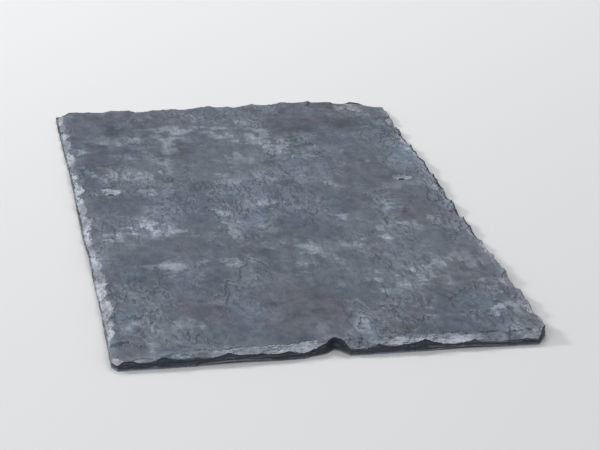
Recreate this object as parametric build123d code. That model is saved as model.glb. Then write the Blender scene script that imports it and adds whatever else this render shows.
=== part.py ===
from build123d import *
from math import ceil, cos, hypot, pi, sin, sqrt
import os

# A natural roofing slate, 22 x 11 inches: one slab of stone split along its cleavage,
# chopped to a rectangle by hand and holed for two nails.
# It lies on its bed. The tail is at -Y, the head at +Y, and +Z points out of the face that
# shows on a roof. The origin is on the bed, in the middle of the rectangle. Millimetres.

# The rectangle that the slate is dressed to, and its thickness, which runs off to the head.
length = 558.8
width = 279.4
tail_thickness = 9.4
head_thickness = 7.8

# The riven face swells and dips in long waves: along the grain, with a bend that differs
# from side to side, and across it, on a slant. The bend is in radians.
long_swell_height = 0.42
long_swell_length = 310.0
long_swell_bend = 1.1
cross_swell_height = 0.28
cross_swell_length = 120.0
cross_swell_slant = 0.12
riven_grid = 30.0

# Chopping: each blow of the knife leaves a nearly straight cut, a little off the line.
# The blows land unevenly, by a share of their distance.
chop_length = 62.0
chop_waver = 1.3
chop_unevenness = 0.22

# Flakes break off the upper edge under each blow, which leaves a scalloped bevel. They land
# unevenly, by a share of their distance, and differ in size and roundness by the others.
flake_pitch = 17.0
flake_reach = 5.8
flake_drop = 4.0
flake_radius = 32.0
flake_unevenness = 0.45
flake_variation = 0.5
flake_radius_variation = 0.35

# A bite broken right through the tail's edge: where its deepest point is, how far it runs to
# either side of that and how deep it goes. Its corners are shares of these.
bite_from_left = 141.0
bite_left_run = 23.0
bite_right_run = 9.0
bite_depth = 13.0
bite_corners = ((-1.0, 0.0), (-0.62, 0.3), (-0.25, 0.5), (0.0, 1.0), (0.4, 0.72), (1.0, 0.0))

# Its ledges, where the leaves broke one behind another: the height that each starts from and
# the share of the bite that it takes in.
bite_ledges = ((0.0, 0.6), (3.4, 0.8), (6.2, 1.0))

# How far each corner is broken back, along the width and along the length.
tail_left_nip = (3.5, 7.0)
tail_right_nip = (9.0, 15.0)
head_right_nip = (24.0, 17.0)
head_left_nip = (6.0, 5.0)

# Spalls under the edge, where the bed lifts off what the slate lies on. Each is at a share
# of the way round, anticlockwise from the left end of the tail.
spall_reach = 16.0
spall_rise = 1.8
spall_radius = 190.0
spall_places = (0.045, 0.135, 0.3, 0.52, 0.71, 0.88)

# Where leaves of the cleavage have come away from the face. Each scar is a ragged ring: how far
# its middle is in from the sides of a corner, and half its width and half its length.
leaf_thickness = 0.8
leaf_corner_count = 15
leaf_raggedness = 0.17
side_scar_inset = (21.7, 159.4)
side_scar_half_size = (62.0, 112.0)
head_scar_inset = (43.7, 74.4)
head_scar_half_size = (70.0, 92.0)
tail_scar_inset = (11.7, 17.4)
tail_scar_half_size = (58.0, 46.0)
tail_break_inset = (2.0, 5.0)
tail_break_half_size = (27.0, 20.0)
head_corner_inset = (10.0, 8.0)
head_corner_half_size = (52.0, 43.0)
head_break_inset = (8.0, 6.0)
head_break_half_size = (37.0, 29.0)

# The scars: the signs of X and Y at the corner, the two sizes, how many leaves are gone, and a
# seed for the raggedness. Scars in one another make a stepped break.
lost_leaves = [
    ((1, -1), side_scar_inset, side_scar_half_size, 1, 10),
    ((-1, 1), head_scar_inset, head_scar_half_size, 1, 30),
    ((-1, -1), tail_scar_inset, tail_scar_half_size, 1, 50),
    ((-1, -1), tail_break_inset, tail_break_half_size, 3, 70),
    ((1, 1), head_corner_inset, head_corner_half_size, 2, 90),
    ((1, 1), head_break_inset, head_break_half_size, 4, 110),
]

# Nail holes, punched from the bed, so that a crater bursts open on the face.
# They clear the head of the slate that lies a lap under this one.
nail_hole_radius = 2.5
nail_hole_inset = 28.0
head_lap = 75.0
nail_clearance = 12.0
crater_radius = 7.5
crater_depth = 2.4

# Room that cutting tools have outside the stone.
spare = 20.0

tail = -length / 2
nail_hole_y = tail + (length + head_lap) / 2 + nail_clearance
nail_hole_spacing = width - 2 * nail_hole_inset


def scatter(n):
    """A number from -1 to 1 that looks random, and is the same each time for the same n."""
    return 2 * (sin(12.9898 * n + 0.7) * 43758.5453 % 1) - 1


def face_height(x, y):
    """How high the riven face stands above the bed."""
    plain = tail_thickness + (head_thickness - tail_thickness) * (y - tail) / length
    bend = long_swell_bend * cos(pi * x / width)
    along = long_swell_height * sin(2 * pi * y / long_swell_length + bend)
    across = cross_swell_height * cos(2 * pi * (x + cross_swell_slant * y) / cross_swell_length)
    return plain + along + across


def riven_surface(depth=0.0):
    """The riven face, or one that runs that depth under it, past the slate on all sides."""
    columns = ceil((width + 2 * spare) / riven_grid)
    rows = ceil((length + 2 * spare) / riven_grid)
    xs = [-width / 2 - spare + (width + 2 * spare) * i / columns for i in range(columns + 1)]
    ys = [tail - spare + (length + 2 * spare) * j / rows for j in range(rows + 1)]
    points = [[(x, y, face_height(x, y) - depth) for x in xs] for y in ys]
    return Face.make_surface_from_array_of_points(points, tol=0.01, min_deg=3, max_deg=3)


def above(block, surface):
    """The part of a block that stands above a surface."""
    return max(block.split(surface, Keep.ALL), key=lambda piece: piece.center().Z)


def below(block, surface):
    """The part of a block that lies under a surface."""
    return min(block.split(surface, Keep.ALL), key=lambda piece: piece.center().Z)


def chopped_side(start, end, seed):
    """Points along one side, each a little inside the line from start to end."""
    run = hypot(end[0] - start[0], end[1] - start[1])
    chops = max(2, round(run / chop_length))
    along = ((end[0] - start[0]) / run, (end[1] - start[1]) / run)
    points = [start]
    for i in range(1, chops):
        there = (i + chop_unevenness * scatter(seed + i)) * run / chops
        # The second cut of each side starts on the line itself, so that the size is true.
        off = 0 if i == 1 else chop_waver * (1 + scatter(seed + 40 + i)) / 2
        x = start[0] + along[0] * there - along[1] * off
        y = start[1] + along[1] * there + along[0] * off
        points.append((x, y))
    return points + [end]


def dressed_outline():
    """The outline of the bed, anticlockwise from the left end of the tail."""
    x, y = width / 2, length / 2
    sides = [
        ((-x + tail_left_nip[0], -y), (x - tail_right_nip[0], -y)),
        ((x, -y + tail_right_nip[1]), (x, y - head_right_nip[1])),
        ((x - head_right_nip[0], y), (-x + head_left_nip[0], y)),
        ((-x, y - head_left_nip[1]), (-x, -y + tail_left_nip[1])),
    ]
    points = []
    for n, (start, end) in enumerate(sides):
        points += chopped_side(start, end, 100 * (n + 1))
    return Wire.make_polygon(points, close=True)


def scoop(edge_point, inward, high, low, radius, side=1):
    """The ball whose surface passes through two points of the section across an edge.

    high and low are (distance in from the edge, height). The ball lies outside them, above
    where side is 1 and below where it is -1, so what it cuts away is a shell-shaped scar.
    """
    reach, drop = high[0] - low[0], abs(high[1] - low[1])
    chord = hypot(reach, drop)
    out = sqrt(radius**2 - (chord / 2) ** 2)
    centre_in = (high[0] + low[0]) / 2 - out * drop / chord
    centre_up = (high[1] + low[1]) / 2 + side * out * reach / chord
    place = edge_point + inward * centre_in
    return Pos(place.X, place.Y, centre_up) * Sphere(radius)


def edge_frame(outline, share):
    """A point of the outline and the level direction from it into the stone."""
    tangent = outline % share
    return outline @ share, Vector(-tangent.Y, tangent.X, 0)


def edge_flakes(outline):
    """The scars of the flakes that the knife threw off the upper edge, all the way round."""
    count = round(outline.length / flake_pitch)
    scars = []
    for i in range(count):
        share = ((i + flake_unevenness * scatter(i + 500)) / count) % 1
        point, inward = edge_frame(outline, share)
        size = 1 + flake_variation * scatter(i + 600)
        radius = flake_radius * (1 + flake_radius_variation * scatter(i + 700))
        where = point + inward * flake_reach * size
        top = face_height(where.X, where.Y)
        high, low = (flake_reach * size, top), (0, top - flake_drop * size)
        scars.append(scoop(point, inward, high, low, radius))
    return scars


def broken_bite():
    """What has broken out of the tail's edge, one block for each ledge."""
    deepest = -width / 2 + bite_from_left
    blocks = []
    for start, share in bite_ledges:
        points = [(deepest - bite_left_run, tail - spare)]
        for along, deep in bite_corners:
            run = bite_left_run if along < 0 else bite_right_run
            points.append((deepest + run * along, tail + bite_depth * (deep + share - 1)))
        points.append((deepest + bite_right_run, tail - spare))
        ring = Face(Wire.make_polygon(points, close=True))
        blocks.append(Pos(0, 0, start) * extrude(ring, amount=tail_thickness + spare))
    return blocks


def bed_spalls(outline):
    """Wide shallow scars under the edge, spread round the outline."""
    scars = []
    for share in spall_places:
        point, inward = edge_frame(outline, share)
        scars.append(scoop(point, inward, (spall_reach, 0), (0, spall_rise), spall_radius, -1))
    return scars


def lost_leaf(slab, corner, inset, half_size, leaves, seed):
    """What has come away from the slab's face at one scar."""
    middle = (corner[0] * (width / 2 - inset[0]), corner[1] * (length / 2 - inset[1]))
    points = []
    for i in range(leaf_corner_count):
        turn = 2 * pi * i / leaf_corner_count
        ragged = 1 + leaf_raggedness * scatter(seed + i)
        x = middle[0] + half_size[0] * ragged * cos(turn)
        y = middle[1] + half_size[1] * ragged * sin(turn)
        points.append((x, y))
    ring = Face(Wire.make_polygon(points, close=True))
    column = slab & extrude(ring, amount=tail_thickness + spare)
    return above(column, riven_surface(leaves * leaf_thickness))


def nail_hole(x):
    """A punched hole with the crater that its far side bursts into."""
    top = face_height(x, nail_hole_y)
    ball = (crater_radius**2 + crater_depth**2) / (2 * crater_depth)
    crater = Pos(x, nail_hole_y, top - crater_depth + ball) * Sphere(ball)
    shank = Pos(x, nail_hole_y, top / 2) * Cylinder(nail_hole_radius, top + spare)
    return [crater, shank]


def slate():
    outline = dressed_outline()
    slab = extrude(Face(outline), amount=tail_thickness + spare)
    stone = below(slab, riven_surface())
    for scar in lost_leaves:
        stone -= lost_leaf(slab, *scar)
    stone -= edge_flakes(outline)
    stone -= bed_spalls(outline)
    stone -= broken_bite()
    stone -= nail_hole(-nail_hole_spacing / 2) + nail_hole(nail_hole_spacing / 2)
    return stone


os.makedirs("parts", exist_ok=True)
tile = slate()
export_step(tile, "parts/slate.step")
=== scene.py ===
import bmesh
import bpy
import math
import numpy as np
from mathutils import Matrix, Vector, geometry, noise
from mathutils.bvhtree import BVHTree
from mathutils.kdtree import KDTree


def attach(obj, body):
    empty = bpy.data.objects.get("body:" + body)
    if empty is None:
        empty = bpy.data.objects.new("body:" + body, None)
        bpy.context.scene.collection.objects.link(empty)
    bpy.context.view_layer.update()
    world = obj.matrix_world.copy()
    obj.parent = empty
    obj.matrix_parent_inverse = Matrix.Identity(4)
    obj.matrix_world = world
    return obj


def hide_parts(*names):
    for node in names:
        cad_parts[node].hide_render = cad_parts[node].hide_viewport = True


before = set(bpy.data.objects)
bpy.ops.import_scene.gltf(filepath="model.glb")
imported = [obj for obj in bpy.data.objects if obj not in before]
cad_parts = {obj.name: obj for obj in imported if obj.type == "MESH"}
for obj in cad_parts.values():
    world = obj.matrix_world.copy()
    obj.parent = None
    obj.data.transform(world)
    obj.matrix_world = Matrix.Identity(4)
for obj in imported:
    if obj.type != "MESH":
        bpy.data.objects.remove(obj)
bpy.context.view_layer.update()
mm = 0.001

# A hand-dressed roofing slate, lying on its bed. The CAD slate gives the outline, the scars and
# the heights. The mesh made here follows it closely, and adds the fine breaks of split stone.


# Small helpers for node trees. They serve Geometry Nodes and materials alike.

def addNode(tree, kind, inputs=None, **settings):
    node = tree.nodes.new(kind)
    for name, value in settings.items():
        setattr(node, name, value)
    for name, value in (inputs or {}).items():
        if isinstance(value, bpy.types.NodeSocket):
            tree.links.new(value, node.inputs[name])
        else:
            node.inputs[name].default_value = value
    return node


def calc(tree, operation, *values):
    return addNode(tree, "ShaderNodeMath", dict(enumerate(values)), operation=operation).outputs[0]


def vectorCalc(tree, operation, *values):
    inputs = dict(enumerate(values))
    return addNode(tree, "ShaderNodeVectorMath", inputs, operation=operation).outputs[0]


def scaled(tree, vector, factor):
    inputs = {0: vector, "Scale": factor}
    return addNode(tree, "ShaderNodeVectorMath", inputs, operation="SCALE").outputs[0]


def combined(tree, x, y, z):
    return addNode(tree, "ShaderNodeCombineXYZ", {"X": x, "Y": y, "Z": z}).outputs[0]


def upPart(tree, vector):
    return addNode(tree, "ShaderNodeSeparateXYZ", {0: vector}).outputs[2]


def mixed(tree, share, a, b):
    return addNode(tree, "ShaderNodeMix", {0: share, 2: a, 3: b}).outputs[0]


def between(tree, share, low, high):  # low where the share is 0, high where it is 1
    return calc(tree, "MULTIPLY_ADD", share, high - low, low)


def ramp(tree, value, low, high, toLow=0.0, toHigh=1.0):  # a smooth step from low to high
    inputs = {"Value": value, "From Min": low, "From Max": high, "To Min": toLow, "To Max": toHigh}
    return addNode(tree, "ShaderNodeMapRange", inputs, interpolation_type="SMOOTHSTEP").outputs[0]


def cloud(tree, place, size, seed, detail=3.0, roughness=0.5):  # noise whose lumps have this size
    stretched = vectorCalc(tree, "DIVIDE", place, size)
    inputs = {"Vector": stretched, "W": seed, "Scale": 1.0, "Detail": detail, "Roughness": roughness}
    return addNode(tree, "ShaderNodeTexNoise", inputs, noise_dimensions="4D").outputs[0]


def patches(tree, place, look):  # a cloud as a dictionary describes it, faded where that says so
    quality = {name: look[name] for name in ("detail", "roughness") if name in look}
    clouds = cloud(tree, place, look["size"], look["seed"], **quality)
    return ramp(tree, clouds, *look["fade"]) if "fade" in look else clouds


# The leaves of the cleavage that are missing from the face, worked out alike for the relief and
# for the finish, so that the tones and the steps fall together.

leafLook = {
    "size": (44 * mm, 135 * mm, 1.0),  # across and along the grain
    "seed": 3.7,
    "detail": 6.0,
    "roughness": 0.58,
    "edges": (0.5, 0.55, 0.6, 0.645),  # a leaf ends where the noise passes one of these
    "sharpness": 0.004,
    "loosening": 0.05,  # leaves come away more readily near the edges of the slate
    "presence": {  # where on the face leaves are missing at all
        "size": (50 * mm, 90 * mm, 1.0), "seed": 8.7, "detail": 1.0, "fade": (0.38, 0.58, 0.2, 1.0),
    },
    "lineWidth": 0.02,  # of the painted highlight on the lip and the painted shade at the foot of each step
    "lipHighlightShare": 0.4,
    "footShadeShare": 0.6,
}
thinLeafLook = {
    "size": (13 * mm, 42 * mm, 1.0),
    "seed": 9.1,
    "detail": 6.0,
    "roughness": 0.58,
    "edges": (0.47, 0.56, 0.64),
    "sharpness": 0.014,
    "loosening": 0.0,
    "presence": {
        "size": (30 * mm, 60 * mm, 1.0), "seed": 14.1, "detail": 1.0, "fade": (0.38, 0.58, 0.0, 1.0),
    },
    "lineWidth": 0.025,
    "lipHighlightShare": 0.16,
    "footShadeShare": 0.28,
}
looseningReach = 22 * mm


def leafField(tree, look, place, edgeDistance):  # the noise that leaves end in, and where it counts
    nearness = ramp(tree, edgeDistance, 0.0, looseningReach, look["loosening"], 0.0)
    field = calc(tree, "ADD", patches(tree, place, look), nearness)
    return field, patches(tree, place, look["presence"])


def leavesLost(tree, look, place, edgeDistance):  # how many leaves are gone
    field, presence = leafField(tree, look, place, edgeDistance)
    sharp = look["sharpness"]
    lost = 0.0
    for edge in look["edges"]:
        lost = calc(tree, "ADD", lost, ramp(tree, field, edge - sharp, edge + sharp))
    return calc(tree, "MULTIPLY", lost, presence)


def leafLines(tree, look, place, edgeDistance):  # the lip of each step, and its foot
    field, presence = leafField(tree, look, place, edgeDistance)
    sharp, width = look["sharpness"], look["lineWidth"]
    lips = feet = 0.0
    for edge in look["edges"]:
        rising = ramp(tree, field, edge - width, edge)
        falling = ramp(tree, field, edge, edge + sharp, 1.0, 0.0)
        lips = calc(tree, "MULTIPLY_ADD", rising, falling, lips)
        rising = ramp(tree, field, edge - sharp, edge)
        falling = ramp(tree, field, edge, edge + width, 1.0, 0.0)
        feet = calc(tree, "MULTIPLY_ADD", rising, falling, feet)
    return calc(tree, "MULTIPLY", lips, presence), calc(tree, "MULTIPLY", feet, presence)


# Step one: the slate's mesh before its relief.

slateMesh = {
    "sliceHeight": 2.4 * mm,  # where the outline is read from the CAD slate
    "mergeReach": 0.001 * mm,  # points this close are one
    "sliceReach": 0.0001 * mm,
    "outlineStep": 0.65 * mm,
    "holeStep": 0.6 * mm,
    "edgeBand": 8 * mm,  # along the edges the points lie closer together
    "face": {"steps": (0.65 * mm, 1.15 * mm), "seed": 1},  # their distance in that band, and past it
    "bed": {"steps": (1.6 * mm, 4.5 * mm), "seed": 3},
    "jitter": 0.12,  # a share of that distance
    "ringClearance": 0.6,  # and the share of it that they keep from the edges
    "wallRows": 7,
    "wallBelly": 3,  # the higher it is, the further up and down the walls are chipped alike
    "ragged": ((26 * mm, 0.55 * mm), (7 * mm, 0.5 * mm), (2.2 * mm, 0.28 * mm)),  # long, and deep
    "raggedShares": (0.35, 0.65),  # of those depths, how much is even and how much comes and goes
    "raggedLayer": 11.3,  # how far apart the three lie in the noise
    "warps": ((13 * mm, 3.4 * mm), (4 * mm, 1.2 * mm)),  # how the scars' outlines wander
    "warpFade": 7 * mm,
    "warpLayer": 7.7,  # how far apart the samples lie in the noise, and the two directions
    "warpAxis": 100.0,
    "samples": 3,
    "castFrom": 30 * mm,  # well clear of the stone
    "lookFrom": 10 * mm,  # about as high as the stone
    "scarTilt": 0.985,  # a CAD face more level than this is riven, the rest is broken
    "ringInset": 0.12 * mm,  # how far inside the outline its heights are read
    "craterReach": 10 * mm,
    "craterBreak": 0.6,  # craters burst finer than the chopped edges
}


def walkLoops(edges):  # the closed loops that the edges make, seen from above
    links = {}
    for edge in edges:
        a, b = edge.verts
        links.setdefault(a, []).append(b)
        links.setdefault(b, []).append(a)
    loops = []
    while links:
        here = next(iter(links))
        loop = [here]
        before = None
        while True:
            ways = [v for v in links[here] if v is not before]
            before, here = here, ways[0]
            if here is loop[0]:
                break
            loop.append(here)
        for v in loop:
            del links[v]
        loops.append(np.array([v.co[:2] for v in loop]))
    return loops


def readSlate(height):  # the CAD slate's surface, and its outline and holes at one height
    solid = bmesh.new()
    solid.from_mesh(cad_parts["slate"].data)
    bmesh.ops.remove_doubles(solid, verts=solid.verts, dist=slateMesh["mergeReach"])
    surface = BVHTree.FromBMesh(solid)
    everything = solid.verts[:] + solid.edges[:] + solid.faces[:]
    reach = slateMesh["sliceReach"]
    cut = bmesh.ops.bisect_plane(
        solid, geom=everything, dist=reach, plane_co=(0, 0, height), plane_no=(0, 0, 1)
    )
    loops = walkLoops([e for e in cut["geom_cut"] if isinstance(e, bmesh.types.BMEdge)])
    solid.free()
    loops.sort(key=lambda loop: -np.ptp(loop[:, 0]))
    return surface, loops[0], loops[1:]


def evenLoop(loop, step):  # anticlockwise, with evenly spaced points
    closed = np.vstack([loop, loop[:1]])
    x, y = closed[:, 0], closed[:, 1]
    if np.sum(x[:-1] * y[1:] - x[1:] * y[:-1]) < 0:
        closed = closed[::-1]
    run = np.concatenate([[0], np.cumsum(np.hypot(*np.diff(closed, axis=0).T))])
    count = round(run[-1] / step)
    places = np.arange(count) * run[-1] / count
    return np.column_stack([np.interp(places, run, closed[:, k]) for k in (0, 1)])


def loopNormals(loop, reach=3):  # level directions out of an anticlockwise loop
    along = np.roll(loop, -reach, axis=0) - np.roll(loop, reach, axis=0)
    out = np.column_stack([along[:, 1], -along[:, 0]])
    return out / np.hypot(*out.T)[:, None]


def raggedLoop(loop):  # small bites out of the outline, of several sizes
    out = loopNormals(loop)
    bite = np.zeros(len(loop))
    even, varied = slateMesh["raggedShares"]
    for number, (size, depth) in enumerate(slateMesh["ragged"]):
        height = slateMesh["raggedLayer"] * (number + 1)
        for i, (x, y) in enumerate(loop):
            lump = noise.noise(Vector((x / size, y / size, height)))
            bite[i] += depth * max(0.0, even + varied * lump)
    return loop - out * bite[:, None]


def gridPoints(low, high, step, seed):  # a slightly uneven grid of triangles over a rectangle
    drawn = np.random.default_rng(seed)
    rise = step * math.sqrt(3) / 2
    rows = int((high[1] - low[1]) / rise) + 1
    columns = int((high[0] - low[0]) / step) + 1
    x, y = np.meshgrid(np.arange(columns) * step, np.arange(rows) * rise)
    x[1::2] += step / 2
    points = np.column_stack([x.ravel() + low[0], y.ravel() + low[1]])
    return points + drawn.uniform(-slateMesh["jitter"], slateMesh["jitter"], points.shape) * step


def flatTree(points):
    tree = KDTree(len(points))
    for i, (x, y) in enumerate(points):
        tree.insert((x, y, 0), i)
    tree.balance()
    return tree


class Outline:  # the ring of the slate's edge, and one for each nail hole
    def __init__(self, loop, holes):
        self.rings = [loop] + holes
        self.out = np.vstack([loopNormals(loop)] + [-loopNormals(hole, 1) for hole in holes])
        self.ringTree = flatTree(np.vstack(self.rings))
        self.edgeTree = flatTree(loop)

    def inside(self, points):  # how deep in the stone each point lies, below zero outside it
        depth = np.empty(len(points))
        for i, (x, y) in enumerate(points):
            near, index, distance = self.ringTree.find((x, y, 0))
            off = (near.x - x) * self.out[index, 0] + (near.y - y) * self.out[index, 1]
            depth[i] = distance if off > 0 else -distance
        return depth

    def fromEdge(self, points):  # how far each point is from the slate's edge, past any hole
        return np.array([self.edgeTree.find((x, y, 0))[2] for x, y in points])


def scatterPoints(outline, steps, seed):
    near, far = steps
    low, high = outline.rings[0].min(axis=0), outline.rings[0].max(axis=0)
    fine = gridPoints(low, high, near, seed)
    depth = outline.inside(fine)
    fine = fine[(depth > slateMesh["ringClearance"] * near) & (depth < slateMesh["edgeBand"])]
    wide = gridPoints(low, high, far, seed + 1)
    wide = wide[outline.inside(wide) >= slateMesh["edgeBand"]]
    return np.vstack([fine, wide])


def fillRings(rings, points):  # triangles over the first ring and round the others
    edges = []
    start = 0
    for ring in rings:
        count = len(ring)
        edges += [(start + i, start + (i + 1) % count) for i in range(count)]
        start += count
    places = [Vector(p) for p in np.vstack(rings + [points]).tolist()]
    insideOnly = 1
    filled = geometry.delaunay_2d_cdt(places, edges, [], insideOnly, slateMesh["mergeReach"])
    coords, _, faces, origins, _, _ = filled
    flat = np.array([co[:] for co in coords])
    faces = np.array(faces)
    middles = flat[faces].mean(axis=1)
    keep = np.ones(len(faces), bool)
    for hole in rings[1:]:
        centre = hole.mean(axis=0)
        radius = np.hypot(*(hole - centre).T).mean()
        keep &= np.hypot(*(middles - centre).T) > radius
    ringAt = np.full(start, -1)  # where each point of the rings is among the new points
    for new, olds in enumerate(origins):
        for old in olds:
            if old < start:
                ringAt[old] = new
    return flat, faces[keep], ringAt


def wander(point, layer, fade):  # the point, pushed about by noise that differs in each layer
    x, y = point
    pushed = [x, y]
    for size, reach in slateMesh["warps"]:
        for axis in (0, 1):
            height = slateMesh["warpLayer"] * layer + slateMesh["warpAxis"] * axis
            pushed[axis] += noise.noise(Vector((x / size, y / size, height))) * reach * fade
    return pushed


def castHeights(surface, points, fades, side):
    # The CAD slate's height at each point, seen from above or below, and whether it is broken
    # there rather than riven. The scars' outlines wander, less where the fade is under one.
    heights = np.zeros(len(points))
    broken = np.zeros(len(points))
    for i, point in enumerate(points):
        found = []
        for layer in range(slateMesh["samples"] if fades[i] > 0 else 1):
            x, y = wander(point, layer, fades[i])
            start = Vector((x, y, side * slateMesh["castFrom"]))
            hit, normal, _, _ = surface.ray_cast(start, Vector((0, 0, -side)))
            if hit is None:  # it slipped between two triangles, or through a nail hole
                hit, normal, _, _ = surface.find_nearest((x, y, side * slateMesh["lookFrom"]))
            found.append((hit.z, abs(normal.z) < slateMesh["scarTilt"]))
        # The mean height breaks a deep step into a leaf for each sample, each with its own edge.
        heights[i] = np.mean([z for z, _ in found])
        broken[i] = np.median([tilted for _, tilted in found])
    return heights, broken


class Side:  # the face or the bed: points with heights, triangles, and which points the rings are
    def __init__(self, surface, outline, look, side):
        scattered = scatterPoints(outline, look["steps"], look["seed"])
        self.points, self.faces, self.ring = fillRings(outline.rings, scattered)
        sampled = self.points.copy()
        sampled[self.ring] -= outline.out * slateMesh["ringInset"]
        fades = np.zeros(len(self.points))
        if side > 0:  # only the face's scars wander
            fades = np.clip(outline.inside(self.points) / slateMesh["warpFade"], 0, 1)
            fades[self.ring] = 0
        self.heights, self.broken = castHeights(surface, sampled, fades, side)

    def corners(self):
        return np.column_stack([self.points, self.heights])


def wallPoints(face, bed, shares):  # rows of points from the bed's rings up to the face's
    low, high = bed.heights[bed.ring], face.heights[face.ring]
    return [np.column_stack([face.points[face.ring], low + (high - low) * share]) for share in shares]


def wallFaces(rings, levels):  # triangles from each level of the rings' points to the next
    faces = []
    first = 0
    for number, ring in enumerate(rings):
        index = np.arange(first, first + len(ring))
        after = np.roll(index, -1)
        for lower, upper in zip(levels, levels[1:]):
            a, b, c, d = lower[index], lower[after], upper[after], upper[index]
            pairs = np.column_stack([a, b, c, a, c, d]).reshape(-1, 3)
            faces.append(pairs if number == 0 else pairs[:, ::-1])
        first += len(ring)
    return np.vstack(faces)


def storeValues(mesh, outline, face, bed, shares):
    # What the relief and the finish go by: values for the face, then the bed, then the walls.
    noFace, noBed = np.zeros(len(face.points)), np.zeros(len(bed.points))
    noWall = np.zeros(len(shares) * len(face.ring))
    onBed = noBed + 1
    onBed[bed.ring] = 0
    belly = 1 - np.abs(2 * shares - 1) ** slateMesh["wallBelly"]  # less near foot and top
    onWall = np.repeat(belly, len(face.ring))
    values = {
        "edgeDistance": (outline.fromEdge(face.points), outline.fromEdge(bed.points), noWall),
        "broken": (face.broken, noBed, noWall + 1),
        "onFace": (noFace + 1, noBed, noWall),
        "onBed": (noFace, onBed, noWall),
        "onWall": (noFace, noBed, onWall),
    }
    for name, parts in values.items():
        mesh.attributes.new(name, "FLOAT", "POINT").data.foreach_set("value", np.concatenate(parts))
    out = np.zeros((len(mesh.vertices), 3))
    out[-len(noWall):, :2] = np.tile(outline.out, (len(shares), 1))
    mesh.attributes.new("outward", "FLOAT_VECTOR", "POINT").data.foreach_set("vector", out.ravel())


def buildSlate():
    surface, loop, holes = readSlate(slateMesh["sliceHeight"])
    loop = raggedLoop(evenLoop(loop, slateMesh["outlineStep"]))
    holes = [evenLoop(hole, slateMesh["holeStep"]) for hole in holes]
    outline = Outline(loop, holes)
    print("outline", len(loop), "points,", len(holes), "nail holes")
    face = Side(surface, outline, slateMesh["face"], 1)
    bed = Side(surface, outline, slateMesh["bed"], -1)
    print("face", len(face.points), "points, bed", len(bed.points), "points")
    face.broken[face.ring] = 1
    for hole in holes:
        fromHole = np.hypot(*(face.points - hole.mean(axis=0)).T)
        face.broken[fromHole < slateMesh["craterReach"]] *= slateMesh["craterBreak"]

    # Walls between the rings of the two sides, row by row.
    shares = np.arange(1, slateMesh["wallRows"]) / slateMesh["wallRows"]
    rows = wallPoints(face, bed, shares)
    levels = [bed.ring + len(face.points)]
    for number, row in enumerate(rows):
        levels.append(len(face.points) + len(bed.points) + number * len(row) + np.arange(len(row)))
    levels.append(face.ring)
    walls = wallFaces(outline.rings, levels)
    corners = np.vstack([face.corners(), bed.corners()] + rows)
    faces = np.vstack([face.faces, bed.faces[:, ::-1] + len(face.points), walls])
    mesh = bpy.data.meshes.new("slateStone")
    mesh.from_pydata(corners.tolist(), [], faces.tolist())
    storeValues(mesh, outline, face, bed, shares)
    return mesh


# Step two: the relief, which Geometry Nodes cut into that mesh.

slateRelief = {
    "Ripple Height": 0.7 * mm,
    "Ripple Width": 30 * mm,
    "Ripple Length": 95 * mm,
    "Leaf Thickness": 0.5 * mm,
    "Thin Leaf Thickness": 0.13 * mm,
    "Terrace Thickness": 0.85 * mm,
    "Terrace Raggedness": 1.3 * mm,
    "Terrace Chip Size": 9 * mm,
    "Terrace Unevenness": 1.3,
    "Terrace Block Size": 45 * mm,
    "Terrace Block Height": 1.7,  # in terraces
    "Terrace Tread": 0.62,  # the share of a terrace that lies level
    "Smooth Patch Size": 15 * mm,
    "Smooth Patch Start": 0.42,
    "Smooth Patch End": 0.62,
    "Smoothness": 0.6,
    "Grit Height": 0.1 * mm,
    "Grit Size": 2 * mm,
    "Least Thickness": 0.25 * mm,
    "Bed Ripple Height": 0.5 * mm,
    "Bed Ripple Width": 34 * mm,
    "Bed Ripple Length": 80 * mm,
    "Bed Ripple Start": 0.42,
    "Bed Ripple End": 0.7,
    "Wall Depth": 0.9 * mm,
    "Wall Leaf Thickness": 0.8 * mm,
    "Wall Leaf Length": 16 * mm,
    "Wall Leaf Start": 0.36,
    "Wall Leaf End": 0.62,
    "Wall Chip Share": 0.4,
    "Wall Chip Length": 9 * mm,
    "Wall Chip Height": 2.5 * mm,
    "Seed": 2.0,
}

# What these noises add to that seed, so that no two of them are alike.
reliefSeeds = {
    "terraceChips": 11.0,
    "terraceBlocks": 17.0,
    "smoothPatches": 19.0,
    "bedRipples": 23.0,
    "wallLeaves": 31.0,
    "wallChips": 37.0,
}


class Relief:  # the tree of nodes, what it is given, and where each point of the stone lies
    def __init__(self):
        self.tree = bpy.data.node_groups.new("slateRelief", "GeometryNodeTree")
        sockets = self.tree.interface
        sockets.new_socket("Geometry", in_out="INPUT", socket_type="NodeSocketGeometry")
        for name, value in slateRelief.items():
            socket = sockets.new_socket(name, in_out="INPUT", socket_type="NodeSocketFloat")
            socket.default_value = value
        sockets.new_socket("Material", in_out="INPUT", socket_type="NodeSocketMaterial")
        sockets.new_socket("Geometry", in_out="OUTPUT", socket_type="NodeSocketGeometry")
        self.given = self.tree.nodes.new("NodeGroupInput").outputs
        self.place = self.tree.nodes.new("GeometryNodeInputPosition").outputs[0]
        self.level = vectorCalc(self.tree, "MULTIPLY", self.place, (1.0, 1.0, 0.0))
        self.height = upPart(self.tree, self.place)

    def read(self, name, kind="FLOAT"):
        inputs = {"Name": name}
        return addNode(self.tree, "GeometryNodeInputNamedAttribute", inputs, data_type=kind).outputs[0]

    def seed(self, name):
        return calc(self.tree, "ADD", self.given["Seed"], reliefSeeds[name])

    def size(self, across, along, up=None):
        return combined(self.tree, self.given[across], self.given[along], self.given[up] if up else 1.0)


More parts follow.
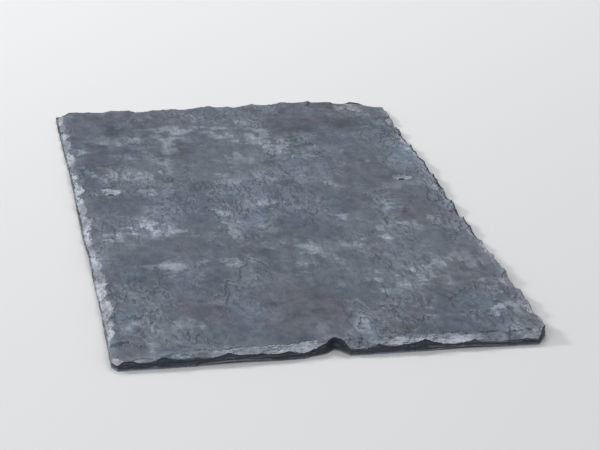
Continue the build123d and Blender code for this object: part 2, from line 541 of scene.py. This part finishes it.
def rivenHeight(relief):
    # Long ripples along the grain, and the missing leaves, lower the whole face.
    tree, given, level = relief.tree, relief.given, relief.level
    edgeDistance = relief.read("edgeDistance")
    ripple = cloud(tree, level, relief.size("Ripple Width", "Ripple Length"), given["Seed"], detail=4.0)
    ripple = calc(tree, "MULTIPLY", ripple, given["Ripple Height"])
    leaves = leavesLost(tree, leafLook, level, edgeDistance)
    thinLeaves = leavesLost(tree, thinLeafLook, level, edgeDistance)
    lowering = calc(tree, "MULTIPLY_ADD", leaves, given["Leaf Thickness"], ripple)
    lowering = calc(tree, "MULTIPLY_ADD", thinLeaves, given["Thin Leaf Thickness"], lowering)
    return calc(tree, "SUBTRACT", relief.height, lowering)


def brokenHeight(relief, riven):
    # Broken places step down in terraces, one for each leaf, with ragged edges. A slow noise
    # along the stack of leaves makes them uneven, and here and there the break is smooth.
    tree, given, level = relief.tree, relief.given, relief.level
    chipSize = relief.size("Terrace Chip Size", "Terrace Chip Size")
    chipped = cloud(tree, level, chipSize, relief.seed("terraceChips"), detail=5.0, roughness=0.62)
    chipped = calc(tree, "MULTIPLY", chipped, given["Terrace Raggedness"])
    ragged = calc(tree, "SUBTRACT", riven, chipped)
    steps = calc(tree, "DIVIDE", ragged, given["Terrace Thickness"])
    stack = vectorCalc(tree, "DIVIDE", level, relief.size("Terrace Block Size", "Terrace Block Size"))
    stack = vectorCalc(tree, "ADD", stack, combined(tree, 0.0, 0.0, steps))
    blockSize = combined(tree, 1.0, 1.0, given["Terrace Block Height"])
    uneven = cloud(tree, stack, blockSize, relief.seed("terraceBlocks"), detail=2.0)
    steps = calc(tree, "MULTIPLY_ADD", uneven, given["Terrace Unevenness"], steps)
    scarp = ramp(tree, calc(tree, "FRACT", steps), given["Terrace Tread"], 1.0)
    stepped = calc(tree, "ADD", calc(tree, "FLOOR", steps), scarp)
    stepped = calc(tree, "MULTIPLY", stepped, given["Terrace Thickness"])
    patchSize = relief.size("Smooth Patch Size", "Smooth Patch Size")
    smoothly = cloud(tree, level, patchSize, relief.seed("smoothPatches"))
    start, end = given["Smooth Patch Start"], given["Smooth Patch End"]
    smoothly = ramp(tree, smoothly, start, end, 0.0, given["Smoothness"])
    stepped = mixed(tree, smoothly, stepped, ragged)
    gritSize = relief.size("Grit Size", "Grit Size", "Grit Size")
    grit = cloud(tree, relief.place, gritSize, given["Seed"], roughness=0.6)
    stepped = calc(tree, "SUBTRACT", stepped, calc(tree, "MULTIPLY", grit, given["Grit Height"]))
    return calc(tree, "MAXIMUM", stepped, given["Least Thickness"])


def bedRise(relief):
    # The bed is riven too, and only its high places touch what it lies on.
    tree, given = relief.tree, relief.given
    rippleSize = relief.size("Bed Ripple Width", "Bed Ripple Length")
    ripple = cloud(tree, relief.level, rippleSize, relief.seed("bedRipples"), detail=4.0)
    start, end = given["Bed Ripple Start"], given["Bed Ripple End"]
    ripple = ramp(tree, ripple, start, end, 0.0, given["Bed Ripple Height"])
    return calc(tree, "MULTIPLY", ripple, relief.read("onBed"))


def wallPush(relief):
    # The walls show the ends of the leaves, and chips out of them.
    tree, given, place = relief.tree, relief.given, relief.place
    leafSize = relief.size("Wall Leaf Length", "Wall Leaf Length", "Wall Leaf Thickness")
    ends = cloud(tree, place, leafSize, relief.seed("wallLeaves"), roughness=0.6)
    ends = ramp(tree, ends, given["Wall Leaf Start"], given["Wall Leaf End"])
    chipSize = relief.size("Wall Chip Length", "Wall Chip Length", "Wall Chip Height")
    chips = cloud(tree, place, chipSize, relief.seed("wallChips"))
    ends = calc(tree, "MULTIPLY_ADD", chips, given["Wall Chip Share"], ends)
    inward = calc(tree, "MULTIPLY", calc(tree, "MULTIPLY", ends, given["Wall Depth"]), relief.read("onWall"))
    return scaled(tree, relief.read("outward", "FLOAT_VECTOR"), calc(tree, "MULTIPLY", inward, -1.0))


def reliefTree():
    relief = Relief()
    tree, given = relief.tree, relief.given
    riven = rivenHeight(relief)
    dressed = mixed(tree, relief.read("broken"), riven, brokenHeight(relief, riven))
    faceDrop = calc(tree, "SUBTRACT", dressed, relief.height)
    faceDrop = calc(tree, "MULTIPLY", faceDrop, relief.read("onFace"))
    upward = combined(tree, 0.0, 0.0, calc(tree, "ADD", faceDrop, bedRise(relief)))
    offset = vectorCalc(tree, "ADD", wallPush(relief), upward)
    moved = addNode(tree, "GeometryNodeSetPosition", {"Geometry": given["Geometry"], "Offset": offset})
    whole = addNode(tree, "GeometryNodeRealizeInstances", {"Geometry": moved.outputs[0]})
    finish = {"Geometry": whole.outputs[0], "Material": given["Material"]}
    finished = addNode(tree, "GeometryNodeSetMaterial", finish)
    result = tree.nodes.new("NodeGroupOutput")
    tree.links.new(finished.outputs[0], result.inputs[0])
    return tree


def plainMesh(piece, name):  # what the modifiers give, as a plain mesh on a new object
    view = bpy.context.evaluated_depsgraph_get()
    made = bpy.data.meshes.new_from_object(piece.evaluated_get(view))
    made.name = name
    bpy.data.objects.remove(piece)
    result = bpy.data.objects.new(name, made)
    bpy.context.collection.objects.link(result)
    return result


slateTrim = {
    "trianglesKept": 185000,
    "creaseAngle": math.radians(38),
}


def makeSlate(material):
    piece = bpy.data.objects.new("slateStone", buildSlate())
    bpy.context.collection.objects.link(piece)
    relief = piece.modifiers.new("relief", "NODES")
    relief.node_group = reliefTree()
    for socket in relief.node_group.interface.items_tree:
        if socket.in_out == "INPUT" and socket.name in slateRelief:
            relief[socket.identifier] = slateRelief[socket.name]
        elif socket.in_out == "INPUT" and socket.name == "Material":
            relief[socket.identifier] = material
    piece = plainMesh(piece, "slate_stone")
    print("relief", len(piece.data.polygons), "triangles")
    thin = piece.modifiers.new("thin", "DECIMATE")
    thin.ratio = min(1.0, slateTrim["trianglesKept"] / len(piece.data.polygons))
    piece = plainMesh(piece, "slate_stone_face")
    for vertex in piece.data.vertices:
        vertex.co.z = max(vertex.co.z, 0.0)  # it rests on the floor, not in it
    piece.data.shade_smooth()
    piece.data.set_sharp_from_angle(angle=slateTrim["creaseAngle"])
    print("slate", len(piece.data.polygons), "triangles")
    return piece


# Step three: the finish.

stoneColours = {
    "blueGrey": (0.062, 0.087, 0.124),
    # Next, a dark that is painted shade along the foot of each leaf step, and a pale that is wear in
    # scratches and bruises and painted highlight on the lips of the steps.
    "stepFootShade": (0.018, 0.024, 0.035),
    "rubbedAndLipHighlight": (0.33, 0.36, 0.4),
    # A pale for fresh breaks, painted paler where they lie level, and used as painted highlight along the
    # rim.
    "paleBreakAndHighlight": (0.6, 0.66, 0.72),
    "breakGrey": (0.11, 0.125, 0.148),
    "breakDark": (0.06, 0.068, 0.082),
    "rustTan": (0.25, 0.2, 0.14),
    # The walls' colours, dark as painted shade.
    "wallDark": (0.022, 0.027, 0.036),
    "wallPale": (0.06, 0.07, 0.085),
}

# The tints of the riven face, one over another. Each has the size of its clouds, across the
# grain, along it and upward, and its fade: the two values of the noise that it runs between, and
# how much of it there is at each. That is multiplied by a share in wide zones, dull and bright,
# and by one where no leaf, or thin leaf, is lost and where one is.
stoneTints = {
    "coldGrey": {
        "colour": (0.105, 0.127, 0.158), "size": (80 * mm, 110 * mm, 20 * mm), "seed": 1.0,
        "detail": 6.0, "roughness": 0.6, "fade": (0.38, 0.62, 0.0, 1.0),
        "zones": (0.7, 1.0), "thin": False, "shares": (1.0, 1.0),
    },
    "purpleGrey": {
        "colour": (0.08, 0.077, 0.11), "size": (60 * mm, 80 * mm, 20 * mm), "seed": 2.0,
        "detail": 7.0, "roughness": 0.64, "fade": (0.48, 0.6, 0.0, 0.7),
        "zones": (1.1, 0.6), "thin": False, "shares": (1.0, 0.2),
    },
    "damp": {
        "colour": (0.018, 0.024, 0.035), "size": (60 * mm, 54 * mm, 20 * mm), "seed": 12.0,
        "detail": 7.0, "roughness": 0.64, "fade": (0.51, 0.62, 0.0, 0.6),
        "zones": (1.0, 0.45), "thin": True, "shares": (1.0, 0.3),
    },
    "paleBloom": {
        "colour": (0.275, 0.313, 0.357), "size": (46 * mm, 34 * mm, 20 * mm), "seed": 3.0,
        "detail": 9.0, "roughness": 0.7, "fade": (0.485, 0.57, 0.0, 0.7),
        "zones": (0.3, 1.15), "thin": True, "shares": (0.18, 1.0),
    },
}

# The other clouds of the finish, in the same form.
stoneClouds = {
    "zones": {"size": (120 * mm, 150 * mm, 60 * mm), "seed": 25.0, "detail": 4.0, "fade": (0.42, 0.58)},
    "mottle": {
        "size": (5 * mm, 9 * mm, 5 * mm), "seed": 4.0, "detail": 7.0, "roughness": 0.72,
        "fade": (0.32, 0.68, 0.73, 1.32),
    },
    "grain": {"size": (0.8 * mm, 12 * mm, 0.8 * mm), "seed": 5.0, "fade": (0.3, 0.7, 0.92, 1.08)},
    "lipHighlightPatches": {
        "size": (14 * mm, 14 * mm, 14 * mm), "seed": 23.0, "detail": 4.0, "fade": (0.4, 0.6, 0.25, 1.0),
    },
    "streaks": {"size": (0.7 * mm, 60 * mm, 60 * mm), "detail": 2.0, "fade": (0.69, 0.75)},
    "scratchedParts": {"size": (50 * mm, 50 * mm, 50 * mm), "fade": (0.5, 0.62, 0.0, 0.3)},
    "rim": {"size": (9 * mm, 9 * mm, 3 * mm), "seed": 21.0, "detail": 5.0, "roughness": 0.65},
    "breakTone": {"size": (5 * mm, 5 * mm, 1.1 * mm), "seed": 6.0, "detail": 6.0, "roughness": 0.72},
    "freshParts": {"size": (38 * mm, 38 * mm, 38 * mm), "seed": 24.0, "fade": (0.4, 0.58, 0.4, 1.0)},
    "rust": {
        "size": (26 * mm, 26 * mm, 8 * mm), "seed": 20.0, "detail": 5.0, "roughness": 0.6,
        "fade": (0.58, 0.7, 0.0, 0.5),
    },
    "leafEnds": {
        "size": (30 * mm, 30 * mm, 0.5 * mm), "seed": 10.0, "roughness": 0.6, "fade": (0.48, 0.72),
    },
    "gloss": {
        "size": (12 * mm, 20 * mm, 10 * mm), "seed": 7.0, "detail": 8.0, "roughness": 0.68,
        "fade": (0.3, 0.7, 0.34, 0.74),
    },
    "swells": {"size": (9 * mm, 20 * mm, 9 * mm), "seed": 22.0},
    "fineRelief": {"size": (1.1 * mm, 5 * mm, 1.1 * mm), "seed": 8.0, "detail": 6.0, "roughness": 0.64},
    "pits": {"size": (0.5 * mm, 0.8 * mm, 0.5 * mm), "seed": 9.0},
}

stoneLook = {
    "leafTones": (0.86, 0.2, 0.13),  # the whole face, and what each leaf and thin leaf lost adds
    "scratches": ((0.35, 13.0), (-0.9, 15.0)),  # radians off the grain, and a seed
    "rimWaver": 10 * mm,
    "rimFade": (5 * mm, 13 * mm, 0.15, 0.0),  # how the painted highlight of the rim thins out over the face
    "brokenShare": 0.9,
    "leafGloss": -0.06,
    "specular": 0.25,
    "ior": 1.5,
}
bruiseLook = {
    "perMetre": 28.0,  # how many lie in a row
    "raggedScale": 400.0,
    "raggedDetail": 2.0,
    "raggedReach": 1.6 * mm,
    "size": (0.55, 1.0, 0.0, 0.07),  # about half have none, the rest up to this share of a pitch
    "leastSize": 0.001,
    "fade": (0.4, 1.0, 0.5, 0.0),  # from their middle out
}
breakLook = {
    "pale": (1.1, 1.8, -1.3),  # what levelness adds as painted light from above, what tone adds, and the start they add it to
    "paleFade": (0.05, 0.75),
    "cracks": (0.28, 0.43, 0.75, 0.0),  # from the darkest tone up
    "wallShade": 0.8,
    "levelPlaces": (0.1, 0.5),  # from a scarp to what counts as level; below it the painted shade of the walls takes over
}
bumpLook = {
    "swells": 3.0,  # beside a fine relief of one
    "pits": 0.35,
    "leaves": -1.4,
    "thinLeaves": -0.5,
    "strength": 0.85,
    "distance": 0.25 * mm,
}


def mixColour(tree, share, a, b):
    node = addNode(tree, "ShaderNodeMix", data_type="RGBA")
    for socket, value in ((node.inputs[0], share), (node.inputs[6], a), (node.inputs[7], b)):
        if isinstance(value, bpy.types.NodeSocket):
            tree.links.new(value, socket)
        else:
            socket.default_value = (*value, 1.0)
    return node.outputs[2]


def rivenColour(tree, place, leaves, thinLeaves):
    # Patches of blue and purple grey, damp and pale, that change at the edges of the leaves.
    colour = stoneColours["blueGrey"]
    zones = patches(tree, place, stoneClouds["zones"])
    for tint in stoneTints.values():
        share = patches(tree, place, tint)
        share = calc(tree, "MULTIPLY", share, between(tree, zones, *tint["zones"]))
        gone = calc(tree, "MINIMUM", thinLeaves if tint["thin"] else leaves, 1.0)
        share = calc(tree, "MULTIPLY", share, between(tree, gone, *tint["shares"]))
        colour = mixColour(tree, share, colour, tint["colour"])
    whole, leafStep, thinStep = stoneLook["leafTones"]
    leafTone = calc(tree, "MULTIPLY_ADD", leaves, leafStep, whole)
    leafTone = calc(tree, "MULTIPLY_ADD", thinLeaves, thinStep, leafTone)
    mottle = patches(tree, place, stoneClouds["mottle"])
    grain = patches(tree, place, stoneClouds["grain"])
    return scaled(tree, colour, calc(tree, "MULTIPLY", calc(tree, "MULTIPLY", mottle, grain), leafTone))


def leafStepHighlightAndShade(tree, place, level, edgeDistance, colour):
    # A painted shade lies along the foot of each step, and a painted highlight along its lip, in patches.
    lipHighlightWhere = patches(tree, place, stoneClouds["lipHighlightPatches"])
    for look in (leafLook, thinLeafLook):
        lips, feet = leafLines(tree, look, level, edgeDistance)
        # painted highlight along the lip
        lips = calc(tree, "MULTIPLY", calc(tree, "MULTIPLY", lips, lipHighlightWhere), look["lipHighlightShare"])
        colour = mixColour(tree, lips, colour, stoneColours["rubbedAndLipHighlight"])
        # painted shade along the foot
        feet = calc(tree, "MULTIPLY", feet, look["footShadeShare"])
        colour = mixColour(tree, feet, colour, stoneColours["stepFootShade"])
    return colour


def scratches(tree, place, turn, seed):  # thin streaks, broken up, a turn off the grain
    inputs = {"Vector": place, "Angle": turn}
    turned = addNode(tree, "ShaderNodeVectorRotate", inputs, rotation_type="Z_AXIS").outputs[0]
    streaks = patches(tree, turned, stoneClouds["streaks"] | {"seed": seed})
    where = patches(tree, place, stoneClouds["scratchedParts"] | {"seed": seed + 1})
    return calc(tree, "MULTIPLY", streaks, where)


def bruises(tree, place):  # small ragged spots, where other stone has knocked it
    inputs = {"Vector": place, "Scale": bruiseLook["raggedScale"], "Detail": bruiseLook["raggedDetail"]}
    bent = addNode(tree, "ShaderNodeTexNoise", inputs).outputs[1]
    bent = vectorCalc(tree, "ADD", place, scaled(tree, bent, bruiseLook["raggedReach"]))
    cells = addNode(tree, "ShaderNodeTexVoronoi", {"Vector": bent, "Scale": bruiseLook["perMetre"]})
    drawn = addNode(tree, "ShaderNodeSeparateColor", {0: cells.outputs["Color"]}).outputs
    size = calc(tree, "MAXIMUM", ramp(tree, drawn[0], *bruiseLook["size"]), bruiseLook["leastSize"])
    spot = calc(tree, "DIVIDE", cells.outputs["Distance"], size)
    return ramp(tree, spot, *bruiseLook["fade"])


def rimHighlight(tree, place, edgeDistance):  # a painted highlight along the edges, fading out over the face
    waver = patches(tree, place, stoneClouds["rim"])
    distance = calc(tree, "MULTIPLY_ADD", waver, stoneLook["rimWaver"], edgeDistance)
    return ramp(tree, distance, *stoneLook["rimFade"])


def brokenColour(tree, place, onWall):
    # Pale where it lies level, as painted light from above, greyer on its scarps, painted shade in the walls
    # and on steep places, and dark in the cracks.
    normal = tree.nodes.new("ShaderNodeNewGeometry").outputs["Normal"]
    levelness = upPart(tree, normal)
    tone = patches(tree, place, stoneClouds["breakTone"])
    byLevelness, byTone, start = breakLook["pale"]
    # Painted light: the more level a break lies, the paler it is painted.
    pale = calc(tree, "MULTIPLY_ADD", levelness, byLevelness, start)
    pale = calc(tree, "MULTIPLY_ADD", tone, byTone, pale)
    fresh = patches(tree, place, stoneClouds["freshParts"])
    pale = calc(tree, "MULTIPLY", ramp(tree, pale, *breakLook["paleFade"]), fresh)
    colour = mixColour(tree, pale, stoneColours["breakGrey"], stoneColours["paleBreakAndHighlight"])
    colour = mixColour(tree, ramp(tree, tone, *breakLook["cracks"]), colour, stoneColours["breakDark"])
    rust = patches(tree, place, stoneClouds["rust"])
    colour = mixColour(tree, rust, colour, stoneColours["rustTan"])
    ends = patches(tree, place, stoneClouds["leafEnds"])
    wall = mixColour(tree, ends, stoneColours["wallDark"], stoneColours["wallPale"])
    # Painted shade: walls and steep scarps take the dark wall colours.
    ledge = between(tree, onWall, 1.0, 1.0 - breakLook["wallShade"])
    ledge = calc(tree, "MULTIPLY", ledge, ramp(tree, levelness, *breakLook["levelPlaces"]))
    return mixColour(tree, ledge, wall, colour)


def stoneBump(tree, place, leaves, thinLeaves):
    height = patches(tree, place, stoneClouds["fineRelief"])
    parts = {name: patches(tree, place, stoneClouds[name]) for name in ("swells", "pits")}
    parts |= {"leaves": leaves, "thinLeaves": thinLeaves}
    for name, part in parts.items():
        height = calc(tree, "MULTIPLY_ADD", part, bumpLook[name], height)
    inputs = {"Height": height, "Strength": bumpLook["strength"], "Distance": bumpLook["distance"]}
    return addNode(tree, "ShaderNodeBump", inputs).outputs[0]


def stoneMaterial():
    material = bpy.data.materials.new("slateStone")
    material.use_nodes = True
    tree = material.node_tree
    tree.nodes.clear()
    place = tree.nodes.new("ShaderNodeTexCoord").outputs["Object"]
    level = vectorCalc(tree, "MULTIPLY", place, (1.0, 1.0, 0.0))

    def read(name):
        return addNode(tree, "ShaderNodeAttribute", attribute_name=name).outputs["Fac"]

    edgeDistance = read("edgeDistance")
    leaves = leavesLost(tree, leafLook, level, edgeDistance)
    thinLeaves = leavesLost(tree, thinLeafLook, level, edgeDistance)
    colour = rivenColour(tree, place, leaves, thinLeaves)
    colour = leafStepHighlightAndShade(tree, place, level, edgeDistance, colour)
    marks = [scratches(tree, place, turn, seed) for turn, seed in stoneLook["scratches"]]
    marks.append(bruises(tree, place))
    for mark in marks:
        colour = mixColour(tree, mark, colour, stoneColours["rubbedAndLipHighlight"])
    # A painted highlight along the rim.
    colour = mixColour(tree, rimHighlight(tree, place, edgeDistance), colour, stoneColours["paleBreakAndHighlight"])
    broken = calc(tree, "MULTIPLY", read("broken"), stoneLook["brokenShare"])
    colour = mixColour(tree, broken, colour, brokenColour(tree, place, read("onWall")))
    rough = patches(tree, place, stoneClouds["gloss"])
    rough = calc(tree, "MULTIPLY_ADD", leaves, stoneLook["leafGloss"], rough)
    shader = addNode(tree, "ShaderNodeBsdfPrincipled", {
        "Base Color": colour, "Roughness": rough, "Normal": stoneBump(tree, place, leaves, thinLeaves),
        "IOR": stoneLook["ior"], "Specular IOR Level": stoneLook["specular"],
    })
    output = tree.nodes.new("ShaderNodeOutputMaterial")
    tree.links.new(shader.outputs[0], output.inputs[0])
    print("finish ready")
    return material


slate = makeSlate(stoneMaterial())
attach(slate, "root")
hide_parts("slate")


# The studio: a pale floor, soft lamps and the camera.

studio = {
    "floorSize": 12.0,
    "floorColour": (0.78, 0.78, 0.77),
    "floorRoughness": 0.9,
    "skyColour": (0.92, 0.95, 1.0),
    "skyStrength": 0.42,
}
lamps = {
    "overhead": {"place": (0.4, 1.5, 1.7), "target": (0, 0.05, 0), "size": (1.0, 0.6), "watts": 16.5},
    "rake": {"place": (-1.7, 1.0, 1.1), "target": (0, 0, 0), "size": (0.6, 0.35), "watts": 21},
    "front": {"place": (-1.2, -1.6, 1.4), "target": (0, 0, 0), "size": (1.5, 1.0), "watts": 16},
}
cameraView = {
    "azimuth": -9.5,
    "elevation": 19.0,
    "distance": 1.62,
    "lens": 133.0,
    "target": (0.02, -0.025, 0.0),
    "clipStart": 0.05,
}


def makeFloor():
    half = studio["floorSize"] / 2
    mesh = bpy.data.meshes.new("floor")
    corners = [(-half, -half, 0), (half, -half, 0), (half, half, 0), (-half, half, 0)]
    mesh.from_pydata(corners, [], [(0, 1, 2, 3)])
    floor = bpy.data.objects.new("floor", mesh)
    bpy.context.collection.objects.link(floor)
    material = bpy.data.materials.new("paleFloor")
    material.use_nodes = True
    shader = material.node_tree.nodes["Principled BSDF"]
    shader.inputs["Base Color"].default_value = (*studio["floorColour"], 1)
    shader.inputs["Roughness"].default_value = studio["floorRoughness"]
    mesh.materials.append(material)


def makeSky():
    world = bpy.data.worlds.new("sky")
    bpy.context.scene.world = world
    world.use_nodes = True
    back = world.node_tree.nodes["Background"]
    back.inputs["Color"].default_value = (*studio["skyColour"], 1)
    back.inputs["Strength"].default_value = studio["skyStrength"]


def makeLamp(name, look):
    lamp = bpy.data.lights.new(name, "AREA")
    lamp.shape = "RECTANGLE"
    lamp.size, lamp.size_y = look["size"]
    lamp.energy = look["watts"]
    holder = bpy.data.objects.new(name, lamp)
    holder.location = look["place"]
    aim = Vector(look["target"]) - Vector(look["place"])
    holder.rotation_euler = aim.to_track_quat("-Z", "Y").to_euler()
    bpy.context.collection.objects.link(holder)


def makeCamera():
    azimuth, elevation = math.radians(cameraView["azimuth"]), math.radians(cameraView["elevation"])
    level = math.cos(elevation)
    back = Vector((math.sin(azimuth) * level, -math.cos(azimuth) * level, math.sin(elevation)))
    lens = bpy.data.cameras.new("camera")
    lens.lens = cameraView["lens"]
    lens.clip_start = cameraView["clipStart"]
    camera = bpy.data.objects.new("camera", lens)
    camera.location = Vector(cameraView["target"]) + back * cameraView["distance"]
    camera.rotation_euler = (-back).to_track_quat("-Z", "Y").to_euler()
    bpy.context.collection.objects.link(camera)
    bpy.context.scene.camera = camera


makeFloor()
makeSky()
for name, look in lamps.items():
    makeLamp(name, look)
makeCamera()
bpy.context.scene.view_settings.view_transform = "Standard"
print("studio ready")
